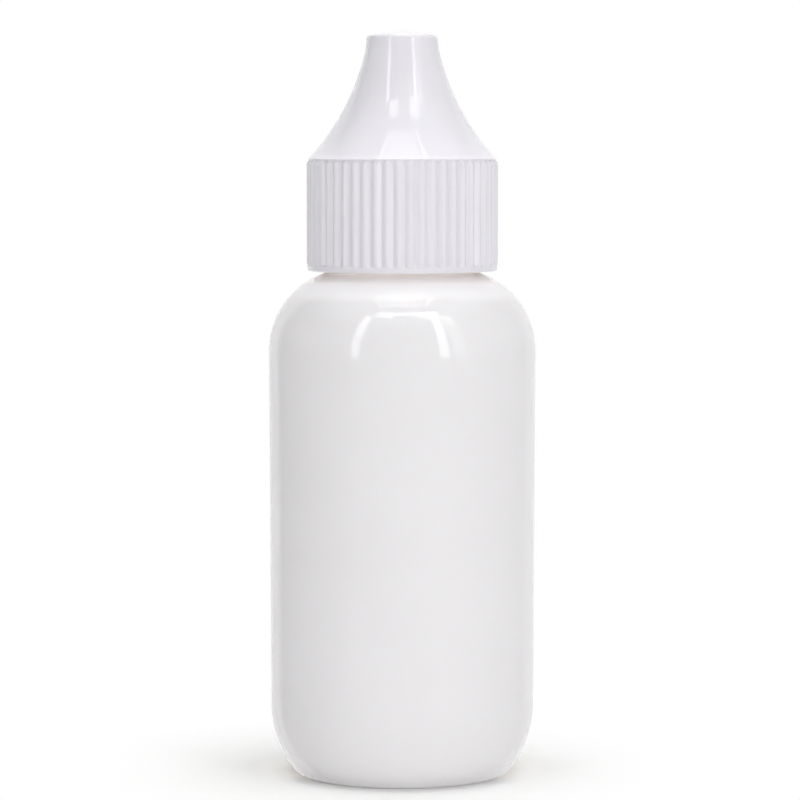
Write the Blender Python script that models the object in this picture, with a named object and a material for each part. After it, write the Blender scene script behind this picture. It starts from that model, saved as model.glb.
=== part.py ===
"""Squeeze bottle for liquid glue, with a dropper plug in its neck and a ribbed screw cap
that runs up into a hollow-sided cone. Lengths are in metres and +Z points up.
The origin is at the centre of the base, on the table. The closure turns and rises on Z."""

import math

import bmesh
import bpy

MM = 0.001

# Fits, and how finely round shapes are faceted
SEAT_GAP = 0.30 * MM           # between two pieces that bear on each other
WELD_DISTANCE = 0.001 * MM     # points of one mesh closer than this are one point
BOTTLE_SIDES = 48
PLUG_SIDES = 36
LINER_SIDES = 40
PIN_SIDES = 12

# Bottle: body
BODY_RADIUS = 16.5 * MM        # where the wall meets the shoulder
BODY_DRAW_IN = 0.18 * MM       # how much less the radius is where the wall meets the heel
WALL_TOP = 52.4 * MM           # height at which the shoulder starts
BOTTLE_WALL = 0.9 * MM
SHOULDER_ARC = 10.16 * MM      # radius of the dome's arc, tangent to the wall
HEEL_HEIGHT = 8.55 * MM
HEEL_INSET = 3.18 * MM         # how far the heel's arc has come in from the wall at the table
FOOT_EDGE_RADIUS = 1.15 * MM
FOOT_INNER_RADIUS = 1.2 * MM
FOOT_RING_WIDTH = 1.1 * MM     # flat ring that the bottle stands on
PUSH_UP_DEPTH = 1.6 * MM       # hollow under the base

# Bottle: neck, a 20 mm finish with room for one and a half turns of thread
NECK_RADIUS = 8.8 * MM
NECK_WALL = 1.4 * MM
NECK_LENGTH = 12.0 * MM        # from the shoulder to the lip
LIP_CHAMFER = 0.35 * MM
BEAD_RADIUS = 9.5 * MM         # transfer bead round the foot of the neck
BEAD_BASE = 0.5 * MM           # height of the bead's underside above the shoulder
BEAD_HEIGHT = 1.3 * MM
BEAD_SLOPE = 0.4 * MM
THREAD_DEPTH = 1.05 * MM
THREAD_CLEARANCE = 0.2 * MM

# Dropper plug, pressed into the neck
FLANGE_THICKNESS = 0.8 * MM
FLANGE_INSET = 0.1 * MM        # the flange stays this far inside the neck's outer wall
BARREL_LENGTH = 8.0 * MM
BARREL_WALL = 1.0 * MM
BARREL_LEAD_IN = 0.7 * MM
RING_COUNT = 3
RING_HEIGHT = 1.0 * MM
RING_DEPTH = 0.3 * MM
NOZZLE_HEIGHT = 13.3 * MM      # above the flange
NOZZLE_FOOT_STEP = 0.1 * MM    # how much wider the nozzle's foot is than the bore
NOZZLE_HOLLOW = 0.75 * MM      # how far its sides bow in from straight
NOZZLE_WALL = 0.95 * MM
NOZZLE_LIP_RADIUS = 0.4 * MM
TIP_FACE = 0.4 * MM            # width of the flat ring round the hole
ORIFICE_RADIUS = 0.9 * MM
ORIFICE_LENGTH = 2.2 * MM
COUNTERSINK = 0.4 * MM

# Cap liner, a washer between the plug's flange and the cap's land
LINER_THICKNESS = 0.7 * MM
LINER_CLEARANCE = 0.95 * MM    # between its hole and the nozzle's foot

# Cap: skirt
CAP_ANGLE = math.radians(1.3)  # how far round the cap stands when it is tight
SKIRT_WALL = 1.37 * MM         # in the valleys between the ribs
RIM_CLEARANCE = 0.43 * MM      # between the cap's rim and the bottle's shoulder, measured upwards
RIM_HEIGHT = 0.6 * MM          # plain band below the ribs
RIM_STEP = 0.28 * MM           # the plain band stands this far out of the valleys
RIM_CHAMFER = 0.25 * MM
RIB_COUNT = 52
RIB_DEPTH = 0.38 * MM
TOP_STEP = 0.21 * MM           # the edge above the ribs stands this far out of the valleys
RIB_TOP_SLOPE = 0.35 * MM
RIB_END_SLOPE = 0.3 * MM
POINTS_PER_RIB = 5
RIB_FULLNESS = 0.5             # power of the sine that swells a rib: less makes it squarer
RETAINER_DEPTH = 0.5 * MM      # bead inside the bore that keeps the liner in
RETAINER_HEIGHT = 1.0 * MM
LAND_WIDTH = 1.45 * MM

# Cap: cone, crown and pin
CONE_DROP = 0.6 * MM           # the cone starts this far below the land inside
CONE_STEP = 0.03 * MM          # and this far inside and above the edge over the ribs
CONE_HOLLOW = 1.1 * MM         # how far its sides bow in from straight
CONE_WALL = 1.35 * MM
CONE_CLEARANCE = 0.97 * MM     # between the nozzle's tip and the cone's small end, sideways
TIP_CLEARANCE = 1.1 * MM       # and upwards
CROWN_THICKNESS = 1.57 * MM
CROWN_RISE = 0.43 * MM
CROWN_EDGE_RADIUS = 0.45 * MM
PIN_CLEARANCE = 0.3 * MM       # between the pin and the nozzle's hole
PIN_FLARE = 0.9 * MM           # how much wider the pin's root is
PIN_REACH = 1.9 * MM           # how far the pin stands in the nozzle's hole

# Sizes and heights that several pieces share, from the sizes above
heel_arc = (HEEL_HEIGHT ** 2 + HEEL_INSET ** 2) / (2 * HEEL_INSET)
shoulder_centre = BODY_RADIUS - SHOULDER_ARC
cap_bore = NECK_RADIUS + THREAD_DEPTH + THREAD_CLEARANCE
shoulder_at_bore = WALL_TOP + math.sqrt(SHOULDER_ARC ** 2 - (cap_bore - shoulder_centre) ** 2)
neck_base = WALL_TOP + math.sqrt(SHOULDER_ARC ** 2 - (NECK_RADIUS - shoulder_centre) ** 2)
lip_height = neck_base + NECK_LENGTH
plug_seat = lip_height + SEAT_GAP
liner_seat = plug_seat + FLANGE_THICKNESS + SEAT_GAP
land_height = liner_seat + LINER_THICKNESS + SEAT_GAP
cap_seat = shoulder_at_bore + RIM_CLEARANCE
plug_bore = NECK_RADIUS - NECK_WALL - SEAT_GAP - RING_DEPTH - BARREL_WALL
nozzle_foot_radius = plug_bore + NOZZLE_FOOT_STEP
nozzle_tip_radius = ORIFICE_RADIUS + COUNTERSINK + TIP_FACE + NOZZLE_LIP_RADIUS
nozzle_tip = plug_seat + FLANGE_THICKNESS + NOZZLE_HEIGHT


# Outlines: lists of (radius, height) points

def arc(centre, radius, start, end, steps):
    """Points of an arc about centre, from one angle to another, in degrees from straight out."""
    points = []
    for step in range(steps + 1):
        angle = math.radians(start + (end - start) * step / steps)
        points.append((centre[0] + radius * math.cos(angle), centre[1] + radius * math.sin(angle)))
    return points


def bowed(start, end, depth, steps):
    """Points from start to end along an arc that bows by depth, to the right of the way it runs."""
    run_out = end[0] - start[0]
    run_up = end[1] - start[1]
    chord = math.hypot(run_out, run_up)
    radius = (chord ** 2 / 4 + depth ** 2) / (2 * depth)
    half_angle = math.asin(chord / 2 / radius)
    points = []
    for step in range(steps + 1):
        angle = half_angle * (2 * step / steps - 1)
        along = (radius * math.sin(angle) / chord) + 1 / 2
        aside = (radius * math.cos(angle) - radius + depth) / chord
        points.append((start[0] + along * run_out + aside * run_up,
                       start[1] + along * run_up - aside * run_out))
    return points


def dome(edge_radius, edge_height, rise, steps):
    """Points of a shallow dome from its edge to its middle, on the axis."""
    radius = (edge_radius ** 2 + rise ** 2) / (2 * rise)
    half_angle = math.asin(edge_radius / radius)
    points = []
    for step in range(steps + 1):
        angle = half_angle * (1 - step / steps)
        points.append((radius * math.sin(angle), edge_height + rise - radius * (1 - math.cos(angle))))
    return points


def heel(arc_radius, floor, edge_radius, arc_steps, edge_steps):
    """Points from the wall down the heel's arc and round the edge that blends it into the floor."""
    centre = (BODY_RADIUS - BODY_DRAW_IN - heel_arc, HEEL_HEIGHT)
    edge_height = floor + edge_radius
    reach = math.sqrt((arc_radius - edge_radius) ** 2 - (HEEL_HEIGHT - edge_height) ** 2)
    edge_centre = (centre[0] + reach, edge_height)
    tangent = math.degrees(math.atan2(edge_height - HEEL_HEIGHT, reach))
    points = arc(centre, arc_radius, 0, tangent, arc_steps)
    return points + arc(edge_centre, edge_radius, tangent, -90, edge_steps)[1:]


# Meshes

def spin(mesh, outline, sides):
    """Turn an outline once round Z."""
    points = [mesh.verts.new((radius, 0, height)) for radius, height in outline]
    lines = [mesh.edges.new(pair) for pair in zip(points, points[1:])]
    bmesh.ops.spin(mesh, geom=points + lines, cent=(0, 0, 0), axis=(0, 0, 1),
                   angle=2 * math.pi, steps=sides, use_merge=True)


def close_ring(outline):
    """Repeat the first point of a ring-shaped outline, so that its skin closes."""
    return outline + outline[:1]


def bridge(mesh, *heights):
    """Join the open loops that lie at the given heights."""
    loops = []
    for edge in mesh.edges:
        low, high = sorted(point.co.z for point in edge.verts)
        if edge.is_boundary and any(abs(low - z) + abs(high - z) < WELD_DISTANCE for z in heights):
            loops.append(edge)
    bmesh.ops.bridge_loops(mesh, edges=loops)


def finish(name, mesh, material, parent, height):
    """Weld and close the mesh, face it outwards, and place it as a smooth-shaded object."""
    bmesh.ops.remove_doubles(mesh, verts=mesh.verts, dist=WELD_DISTANCE)
    bmesh.ops.recalc_face_normals(mesh, faces=mesh.faces)
    data = bpy.data.meshes.new(name)
    mesh.to_mesh(data)
    mesh.free()
    data.shade_smooth()
    data.set_sharp_from_angle(angle=math.radians(35))
    data.materials.append(material)
    piece = bpy.data.objects.new(name, data)
    bpy.context.scene.collection.objects.link(piece)
    piece.parent = parent
    piece.location.z = height
    return piece


def plastic(name, colour, roughness, subsurface):
    """A moulded plastic: its colour, how matt it is and how much light it lets in."""
    material = bpy.data.materials.new(name)
    material.use_nodes = True
    shader = material.node_tree.nodes["Principled BSDF"]
    shader.inputs["Base Color"].default_value = (*colour, 1)
    shader.inputs["Roughness"].default_value = roughness
    shader.inputs["Metallic"].default_value = 0
    shader.inputs["Subsurface Weight"].default_value = subsurface
    return material


# Pieces

def build_bottle():
    """Blow-moulded shell, from the hollow under its base, up its outside and back down its inside."""
    outer_heel = heel(heel_arc, 0, FOOT_EDGE_RADIUS, 5, 3)
    inner_heel = heel(heel_arc - BOTTLE_WALL, BOTTLE_WALL, FOOT_INNER_RADIUS, 4, 2)
    ring_inner = outer_heel[-1][0] - FOOT_RING_WIDTH
    neck_angle = math.degrees(math.acos((NECK_RADIUS - shoulder_centre) / SHOULDER_ARC))
    bore = NECK_RADIUS - NECK_WALL
    inner_arc = SHOULDER_ARC - BOTTLE_WALL
    bore_angle = math.degrees(math.acos((bore - shoulder_centre) / inner_arc))
    bead_base = neck_base + BEAD_BASE
    bead_top = bead_base + BEAD_HEIGHT

    outside = dome(ring_inner, 0, PUSH_UP_DEPTH, 3)[::-1]
    outside += outer_heel[::-1]
    outside += arc((shoulder_centre, WALL_TOP), SHOULDER_ARC, 0, neck_angle, 8)
    outside += [(NECK_RADIUS, bead_base),
                (BEAD_RADIUS, bead_base + BEAD_SLOPE),
                (BEAD_RADIUS, bead_top - BEAD_SLOPE),
                (NECK_RADIUS, bead_top),
                (NECK_RADIUS, lip_height - LIP_CHAMFER),
                (NECK_RADIUS - LIP_CHAMFER, lip_height)]
    inside = [(bore + LIP_CHAMFER, lip_height),
              (bore, lip_height - LIP_CHAMFER)]
    inside += arc((shoulder_centre, WALL_TOP), inner_arc, bore_angle, 0, 6)
    inside += inner_heel
    inside += dome(inner_heel[-1][0], BOTTLE_WALL, PUSH_UP_DEPTH, 3)[1:]

    mesh = bmesh.new()
    spin(mesh, outside + inside, BOTTLE_SIDES)
    white = plastic("glossy_white_polyethylene", (0.86, 0.855, 0.86), 0.18, 0.1)
    return finish("bottle", mesh, white, None, 0)


def build_dropper_plug():
    """Moulded insert: nozzle outside, flange, ringed barrel, then back up through its bore.
    Its own height 0 is the underside of its flange."""
    flange_radius = NECK_RADIUS - FLANGE_INSET
    barrel_radius = plug_bore + BARREL_WALL
    ring_radius = barrel_radius + RING_DEPTH
    ring_pitch = (BARREL_LENGTH - BARREL_LEAD_IN) / RING_COUNT
    tip = FLANGE_THICKNESS + NOZZLE_HEIGHT
    orifice_base = tip - ORIFICE_LENGTH
    orifice_mouth = ORIFICE_RADIUS + COUNTERSINK

    outline = arc((nozzle_tip_radius - NOZZLE_LIP_RADIUS, tip - NOZZLE_LIP_RADIUS),
                  NOZZLE_LIP_RADIUS, 90, 0, 2)
    outline += bowed((nozzle_tip_radius, tip - 2 * NOZZLE_LIP_RADIUS),
                     (nozzle_foot_radius, FLANGE_THICKNESS), NOZZLE_HOLLOW, 7)
    outline += [(flange_radius, FLANGE_THICKNESS), (flange_radius, 0), (barrel_radius, 0)]
    for ring in range(RING_COUNT):
        middle = -ring_pitch * (ring + 1 / 2)
        half = RING_HEIGHT / 2
        outline += [(barrel_radius, middle + half),
                    (ring_radius, middle + half - RING_DEPTH / 2),
                    (ring_radius, middle - half + RING_DEPTH / 2),
                    (barrel_radius, middle - half)]
    outline += [(barrel_radius, -BARREL_LENGTH + BARREL_LEAD_IN),
                (barrel_radius - BARREL_LEAD_IN / 2, -BARREL_LENGTH),
                (plug_bore, -BARREL_LENGTH)]
    outline += bowed((plug_bore, 0), (nozzle_tip_radius - NOZZLE_WALL, orifice_base), -NOZZLE_HOLLOW, 6)
    outline += [(ORIFICE_RADIUS, orifice_base + COUNTERSINK),
                (ORIFICE_RADIUS, tip - COUNTERSINK),
                (orifice_mouth, tip)]

    mesh = bmesh.new()
    spin(mesh, close_ring(outline), PLUG_SIDES)
    natural = plastic("natural_polyethylene", (0.80, 0.80, 0.78), 0.3, 0.2)
    return finish("dropper_plug", mesh, natural, None, plug_seat)


def build_cap_liner(parent):
    """Foam washer. Its own height 0 is its underside."""
    outer = cap_bore - SEAT_GAP
    inner = nozzle_foot_radius + LINER_CLEARANCE
    outline = [(outer, LINER_THICKNESS), (outer, 0), (inner, 0), (inner, LINER_THICKNESS)]
    mesh = bmesh.new()
    spin(mesh, close_ring(outline), LINER_SIDES)
    foam = plastic("white_foam_liner", (0.82, 0.82, 0.80), 0.6, 0)
    return finish("cap_liner", mesh, foam, parent, liner_seat - cap_seat)


def rib_radius(point, valley):
    """Radius of the ribbed skirt at a vertex, swollen from the valleys' radius by the ribs."""
    turn = math.atan2(point.co.y, point.co.x) / (2 * math.pi)
    share = (turn * RIB_COUNT) % 1
    return valley + RIB_DEPTH * abs(math.sin(math.pi * share)) ** RIB_FULLNESS


def build_cap(parent):
    """Cone and crown, ribbed skirt and bored inside, each spun with its own number of sides and
    bridged. Its own height 0 is its rim. The valleys of the ribs face along X and Y."""
    valley = cap_bore + SKIRT_WALL
    rim = valley + RIM_STEP
    land = land_height - cap_seat
    top_edge = valley + TOP_STEP
    ribs_top = land - CONE_DROP
    ribs_end = RIM_HEIGHT + RIB_END_SLOPE
    ceiling = nozzle_tip - cap_seat + TIP_CLEARANCE
    ceiling_radius = nozzle_tip_radius + CONE_CLEARANCE
    crown_base = ceiling + CROWN_THICKNESS
    crown_radius = ceiling_radius + CONE_WALL
    crown_flat = crown_radius - CROWN_EDGE_RADIUS
    crown_edge = crown_base - CROWN_EDGE_RADIUS
    cone_foot = (top_edge - CONE_STEP, ribs_top + CONE_STEP)
    pin_radius = ORIFICE_RADIUS - PIN_CLEARANCE
    pin_end = nozzle_tip - PIN_REACH - cap_seat
    retainer = liner_seat - cap_seat - SEAT_GAP
    tooth = (RETAINER_HEIGHT - RETAINER_DEPTH / 2) / 2

    cone = dome(crown_flat, crown_base, CROWN_RISE, 3)[::-1]
    cone += arc((crown_flat, crown_edge), CROWN_EDGE_RADIUS, 60, 0, 2)
    cone += bowed((crown_radius, crown_edge - CROWN_EDGE_RADIUS), cone_foot, CONE_HOLLOW, 9)

    skirt = [(top_edge, ribs_top), (valley, ribs_top - RIB_TOP_SLOPE), (valley, ribs_end), (rim, RIM_HEIGHT)]

    inside = [(rim, RIM_CHAMFER),
              (rim - RIM_CHAMFER, 0),
              (cap_bore + RIM_CHAMFER, 0),
              (cap_bore, RIM_CHAMFER),
              (cap_bore, retainer - RETAINER_HEIGHT),
              (cap_bore - RETAINER_DEPTH, retainer - RETAINER_HEIGHT + tooth),
              (cap_bore - RETAINER_DEPTH, retainer - tooth),
              (cap_bore, retainer),
              (cap_bore, land)]
    inside += bowed((cap_bore - LAND_WIDTH, land), (ceiling_radius, ceiling), -CONE_HOLLOW, 7)

    pin = [(pin_radius + PIN_FLARE, ceiling),
           (pin_radius, ceiling - TIP_CLEARANCE),
           (pin_radius, pin_end + pin_radius / 2),
           (pin_radius / 2, pin_end),
           (0, pin_end)]

    mesh = bmesh.new()
    spin(mesh, skirt, RIB_COUNT * POINTS_PER_RIB)
    for point in mesh.verts:
        if ribs_end - WELD_DISTANCE < point.co.z < ribs_top - WELD_DISTANCE:
            scale = rib_radius(point, valley) / valley
            point.co.x *= scale
            point.co.y *= scale
    spin(mesh, cone, RIB_COUNT)
    spin(mesh, inside, RIB_COUNT)
    spin(mesh, pin, PIN_SIDES)
    bridge(mesh, cone_foot[1], ribs_top)
    bridge(mesh, RIM_HEIGHT, RIM_CHAMFER)
    bridge(mesh, ceiling)
    white = plastic("white_polypropylene", (0.85, 0.845, 0.87), 0.2, 0.05)
    return finish("cap", mesh, white, parent, 0)


for leftover in list(bpy.data.objects):
    bpy.data.objects.remove(leftover)

cap_axis = bpy.data.objects.new("cap_axis", None)
cap_axis.location.z = cap_seat
cap_axis.rotation_euler.z = CAP_ANGLE
bpy.context.scene.collection.objects.link(cap_axis)

build_bottle()
build_dropper_plug()
build_cap_liner(cap_axis)
build_cap(cap_axis)
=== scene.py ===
"""A small white squeeze bottle for liquid glue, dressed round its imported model: fine meshes and
moulded finishes for the bottle, its dropper plug, its cap and the cap's liner, in a white studio."""

import math

import bmesh
import bpy
from mathutils import Matrix, Vector


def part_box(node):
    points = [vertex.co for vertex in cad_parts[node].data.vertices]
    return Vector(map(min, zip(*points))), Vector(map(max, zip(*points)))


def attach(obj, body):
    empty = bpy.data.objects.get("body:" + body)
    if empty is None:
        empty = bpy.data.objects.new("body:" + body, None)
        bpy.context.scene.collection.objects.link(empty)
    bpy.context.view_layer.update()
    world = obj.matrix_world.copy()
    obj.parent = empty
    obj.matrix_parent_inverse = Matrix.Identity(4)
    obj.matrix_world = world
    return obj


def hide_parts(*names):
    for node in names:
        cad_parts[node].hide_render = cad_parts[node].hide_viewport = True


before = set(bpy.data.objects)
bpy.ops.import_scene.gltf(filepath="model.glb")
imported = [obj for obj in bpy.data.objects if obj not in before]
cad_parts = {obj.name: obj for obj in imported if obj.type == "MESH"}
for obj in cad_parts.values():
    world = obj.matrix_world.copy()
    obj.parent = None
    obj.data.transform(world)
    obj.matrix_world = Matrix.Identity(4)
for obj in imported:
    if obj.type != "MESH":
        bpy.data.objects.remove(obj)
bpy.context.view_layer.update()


# Bottle
# One blow-moulded shell of glossy white polyethylene, thin enough to squeeze. The mould leaves a
# faint ridge where its halves meet, and nips the hot tube shut under the pushed-up base. The neck
# has a transfer bead and one and a half turns of moulded thread.
MM = 0.001
BOTTLE_SIDES = 256
BODY_DRAW_IN = 0.18 * MM
WALL_TOP = 52.4 * MM
BOTTLE_WALL = 0.9 * MM
SHOULDER_ARC = 10.16 * MM
HEEL_HEIGHT = 8.55 * MM
HEEL_INSET = 3.18 * MM
FOOT_EDGE_RADIUS = 1.15 * MM
FOOT_INNER_RADIUS = 1.2 * MM
FOOT_RING_WIDTH = 1.1 * MM
FOOT_EASING = 0.35 * MM
PUSH_UP_DEPTH = 1.6 * MM
NECK_RADIUS = 8.8 * MM
NECK_WALL = 1.4 * MM
BEAD_RADIUS = 9.5 * MM
BEAD_BASE = 0.5 * MM
BEAD_HEIGHT = 1.3 * MM
BEAD_SLOPE = 0.4 * MM
MOULDED_EASING = 0.2 * MM
LIP_EASING = 0.3 * MM
PARTING_ANGLE = math.radians(7 * 360 / BOTTLE_SIDES)
PARTING_RIDGE = 0.03 * MM
NIP_LENGTH = 8.0 * MM
NIP_WIDTH = 0.5 * MM
NIP_DROP = 0.3 * MM
SHARP_ANGLE = math.radians(40)
WELD_DISTANCE = 0.0005 * MM

THREAD_LEAD = 3.175 * MM
THREAD_TURNS = 1.5
THREAD_START_ANGLE = math.radians(-150)
THREAD_STEPS = 96
THREAD_SINK = 0.15 * MM
THREAD_EASING = 0.18 * MM
THREAD_RUN_OUT_SHARE = 0.05
THREAD_END_SCALE = 0.02
NECK_THREAD_DEPTH = 1.05 * MM
NECK_THREAD_ROOT = 2.1 * MM
NECK_THREAD_CREST = 0.9 * MM
THREAD_TO_LIP = 2.1 * MM

body_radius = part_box("bottle")[1].x
lip_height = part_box("bottle")[1].z
heel_arc = (HEEL_HEIGHT ** 2 + HEEL_INSET ** 2) / (2 * HEEL_INSET)
shoulder_centre = body_radius - SHOULDER_ARC
neck_base = WALL_TOP + math.sqrt(SHOULDER_ARC ** 2 - (NECK_RADIUS - shoulder_centre) ** 2)
thread_rise = THREAD_TURNS * THREAD_LEAD
neck_thread_start = lip_height - THREAD_TO_LIP - thread_rise


def arc(centre, radius, start, end, steps):
    """Points of an arc about a (radius, height) centre, between angles in degrees from straight out."""
    angles = [math.radians(start + (end - start) * step / steps) for step in range(steps + 1)]
    return [(centre[0] + radius * math.cos(a), centre[1] + radius * math.sin(a)) for a in angles]


def straight(start, end, steps):
    """Evenly spaced points of a straight stretch, so that its shading stays flat between its ends."""
    return [tuple(Vector(start).lerp(Vector(end), step / steps)) for step in range(steps + 1)]


def dome(edge_radius, edge_height, rise, steps):
    """Points of a shallow dome from its edge to its middle, on the axis."""
    radius = (edge_radius ** 2 + rise ** 2) / (2 * rise)
    sweep = math.degrees(math.asin(edge_radius / radius))
    points = arc((0, edge_height + rise - radius), radius, 90 - sweep, 90, steps)
    return points[:-1] + [(0, edge_height + rise)]


def heel(arc_radius, floor, edge_radius, arc_steps, edge_steps):
    """Points from the wall down the heel's arc and round the edge that blends it into the floor."""
    centre = (body_radius - BODY_DRAW_IN - heel_arc, HEEL_HEIGHT)
    edge_height = floor + edge_radius
    reach = math.sqrt((arc_radius - edge_radius) ** 2 - (HEEL_HEIGHT - edge_height) ** 2)
    tangent = math.degrees(math.atan2(edge_height - HEEL_HEIGHT, reach))
    points = arc(centre, arc_radius, 0, tangent, arc_steps)
    return points + arc((centre[0] + reach, edge_height), edge_radius, tangent, -90, edge_steps)[1:]


def soften(outline, steps=5):
    """Turn each (radius, height, easing) corner of an outline into a curve that starts and ends
    that far from it. Plain (radius, height) points stay."""
    points = []
    for place, corner in enumerate(outline):
        here = Vector(corner[:2])
        if len(corner) == 2:
            points.append(here)
            continue
        before = Vector(outline[place - 1][:2]) - here
        after = Vector(outline[(place + 1) % len(outline)][:2]) - here
        enter = here + before.normalized() * corner[2]
        leave = here + after.normalized() * corner[2]
        for step in range(steps + 1):
            share = step / steps
            points.append(enter.lerp(here, share).lerp(here.lerp(leave, share), share))
    return points


def spin(mesh, outline, sides):
    """Turn an outline of (radius, height) points once round Z. A point on the axis stays one point."""
    rings = []
    for radius, height in outline:
        turns = [math.tau * side / sides for side in range(sides if radius else 1)]
        rings.append([mesh.verts.new((radius * math.cos(t), radius * math.sin(t), height)) for t in turns])
    for ring, following in zip(rings, rings[1:]):
        for side in range(sides):
            corners = [ring[side % len(ring)], ring[(side + 1) % len(ring)],
                       following[(side + 1) % len(following)], following[side % len(following)]]
            mesh.faces.new(dict.fromkeys(corners))


def make_piece(name, mesh, material):
    """Weld and close a mesh, face it outwards, shade it smooth and show it as an object."""
    bmesh.ops.remove_doubles(mesh, verts=mesh.verts, dist=WELD_DISTANCE)
    bmesh.ops.recalc_face_normals(mesh, faces=mesh.faces)
    data = bpy.data.meshes.new(name)
    mesh.to_mesh(data)
    mesh.free()
    data.shade_smooth()
    data.materials.append(material)
    piece = bpy.data.objects.new(name, data)
    bpy.context.scene.collection.objects.link(piece)
    return piece


def fuse(piece, addition):
    """Join a second closed shape into a piece's skin, and leave crisp edges only at real corners."""
    union = piece.modifiers.new("fuse", "BOOLEAN")
    union.operation = "UNION"
    union.solver = "MANIFOLD"
    union.object = addition
    joined = bpy.data.meshes.new_from_object(piece.evaluated_get(bpy.context.evaluated_depsgraph_get()))
    piece.modifiers.remove(union)
    bpy.data.objects.remove(addition)
    piece.data = joined
    joined.name = piece.name
    joined.shade_smooth()
    joined.set_sharp_from_angle(angle=SHARP_ANGLE)


def linear(hex_colour):
    """A colour written as sRGB hex, as the linear red, green, blue and alpha that shaders take."""
    channels = [int(hex_colour[i:i + 2], 16) / 255 for i in (1, 3, 5)]
    return [c / 12.92 if c <= 0.04045 else ((c + 0.055) / 1.055) ** 2.4 for c in channels] + [1]


def add_node(tree, kind, inputs=(), **settings):
    """Add a node with its settings. Its inputs, by name or number, take a value, a socket, or a
    node, whose first output is linked."""
    node = tree.nodes.new(kind)
    for name, value in settings.items():
        setattr(node, name, value)
    for place, value in dict(inputs).items():
        if isinstance(value, bpy.types.Node):
            value = value.outputs[0]
        if isinstance(value, bpy.types.NodeSocket):
            tree.links.new(value, node.inputs[place])
        else:
            node.inputs[place].default_value = value
    return node


def moulded_plastic(name, tones, gloss, ripple, grain, ior, glow):
    """A moulded plastic. tones are the hex colours that its flow drifts between, gloss the lowest and
    highest roughness, ripple and grain the (size, depth) of its long and short surface waves, and
    glow the (weight, scale, radii) of the light that it lets in."""
    material = bpy.data.materials.new(name)
    material.use_nodes = True
    tree = material.node_tree
    shader = tree.nodes["Principled BSDF"]
    place = add_node(tree, "ShaderNodeTexCoord").outputs["Object"]
    flow = add_node(tree, "ShaderNodeTexNoise", {
        "Vector": place, "Scale": 1 / (2 * ripple[0]), "Detail": 2})
    tint = add_node(tree, "ShaderNodeMix", {0: flow, 6: linear(tones[0]), 7: linear(tones[1])},
                    data_type="RGBA")
    handling = add_node(tree, "ShaderNodeTexNoise", {
        "Vector": place, "Scale": 1 / (4 * grain[0]), "Detail": 3})
    roughness = add_node(tree, "ShaderNodeMapRange", {0: handling, 3: gloss[0], 4: gloss[1]})
    waves = add_node(tree, "ShaderNodeTexNoise", {"Vector": place, "Scale": 1 / ripple[0], "Detail": 0})
    rippled = add_node(tree, "ShaderNodeBump", {"Strength": 1, "Distance": ripple[1], "Height": waves})
    peel = add_node(tree, "ShaderNodeTexNoise", {"Vector": place, "Scale": 1 / grain[0], "Detail": 1})
    grained = add_node(tree, "ShaderNodeBump", {"Strength": 1, "Distance": grain[1], "Height": peel,
                                                "Normal": rippled})
    tree.links.new(tint.outputs[2], shader.inputs["Base Color"])
    tree.links.new(roughness.outputs[0], shader.inputs["Roughness"])
    tree.links.new(grained.outputs[0], shader.inputs["Normal"])
    shader.inputs["IOR"].default_value = ior
    shader.inputs["Subsurface Weight"].default_value = glow[0]
    shader.inputs["Subsurface Scale"].default_value = glow[1]
    shader.inputs["Subsurface Radius"].default_value = glow[2]
    return material


def grow(name, tree, values):
    """The plain mesh that a geometry tree makes from these named inputs."""
    holder = bpy.data.objects.new(name, bpy.data.meshes.new(name))
    bpy.context.scene.collection.objects.link(holder)
    modifier = holder.modifiers.new(name, "NODES")
    modifier.node_group = tree
    for item in tree.interface.items_tree:
        if item.in_out == "INPUT":
            modifier[item.identifier] = values[item.name]
    grown = bpy.data.meshes.new_from_object(holder.evaluated_get(bpy.context.evaluated_depsgraph_get()))
    holder.modifiers.remove(modifier)
    bpy.data.objects.remove(holder)
    return grown


def new_tree(name, inputs):
    """An empty geometry tree with its named inputs, and the node that gives them."""
    tree = bpy.data.node_groups.new(name, "GeometryNodeTree")
    for title, kind in inputs.items():
        tree.interface.new_socket(name=title, in_out="INPUT", socket_type="NodeSocket" + kind)
    tree.interface.new_socket(name="Shape", in_out="OUTPUT", socket_type="NodeSocketGeometry")
    return tree, add_node(tree, "NodeGroupInput").outputs


# Blow-moulded high-density polyethylene is glossy where it was pressed to the polished mould, and
# its wall has long soft waves that bend a lamp's reflection. It lets a little warm light through.
bottle_plastic = moulded_plastic(
    "glossy_blow_moulded_white_polyethylene", tones=("#EFEDEF", "#EBE9EB"), gloss=(0.012, 0.03),
    ripple=(7 * MM, 0.012 * MM), grain=(0.6 * MM, 0.0004 * MM), ior=1.54,
    glow=(0.3, 0.8 * MM, (1.4, 1.1, 0.9)))

# The thread's ridge is swept along a spiral, upright, and runs out into the wall at both ends.
thread_tree, size = new_tree("screw_thread", {
    "Radius": "Float", "Lead": "Float", "Turns": "Float", "Steps": "Int", "Start height": "Float",
    "Start angle": "Float", "Depth": "Float", "Root width": "Float", "Crest width": "Float",
    "Easing": "Float", "Run-out": "Float", "Facing": "Float", "Material": "Material"})
rise = add_node(thread_tree, "ShaderNodeMath", {0: size["Lead"], 1: size["Turns"]}, operation="MULTIPLY")
spiral = add_node(thread_tree, "GeometryNodeCurveSpiral", {
    "Resolution": size["Steps"], "Rotations": size["Turns"], "Start Radius": size["Radius"],
    "End Radius": size["Radius"], "Height": rise, "Reverse": True})
upright = add_node(thread_tree, "GeometryNodeSetCurveNormal", {"Curve": spiral}, mode="Z_UP")
along = add_node(thread_tree, "GeometryNodeSplineParameter").outputs["Factor"]
remaining = add_node(thread_tree, "ShaderNodeMath", {0: 1, 1: along}, operation="SUBTRACT")
to_end = add_node(thread_tree, "ShaderNodeMath", {0: along, 1: remaining}, operation="MINIMUM")
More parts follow.
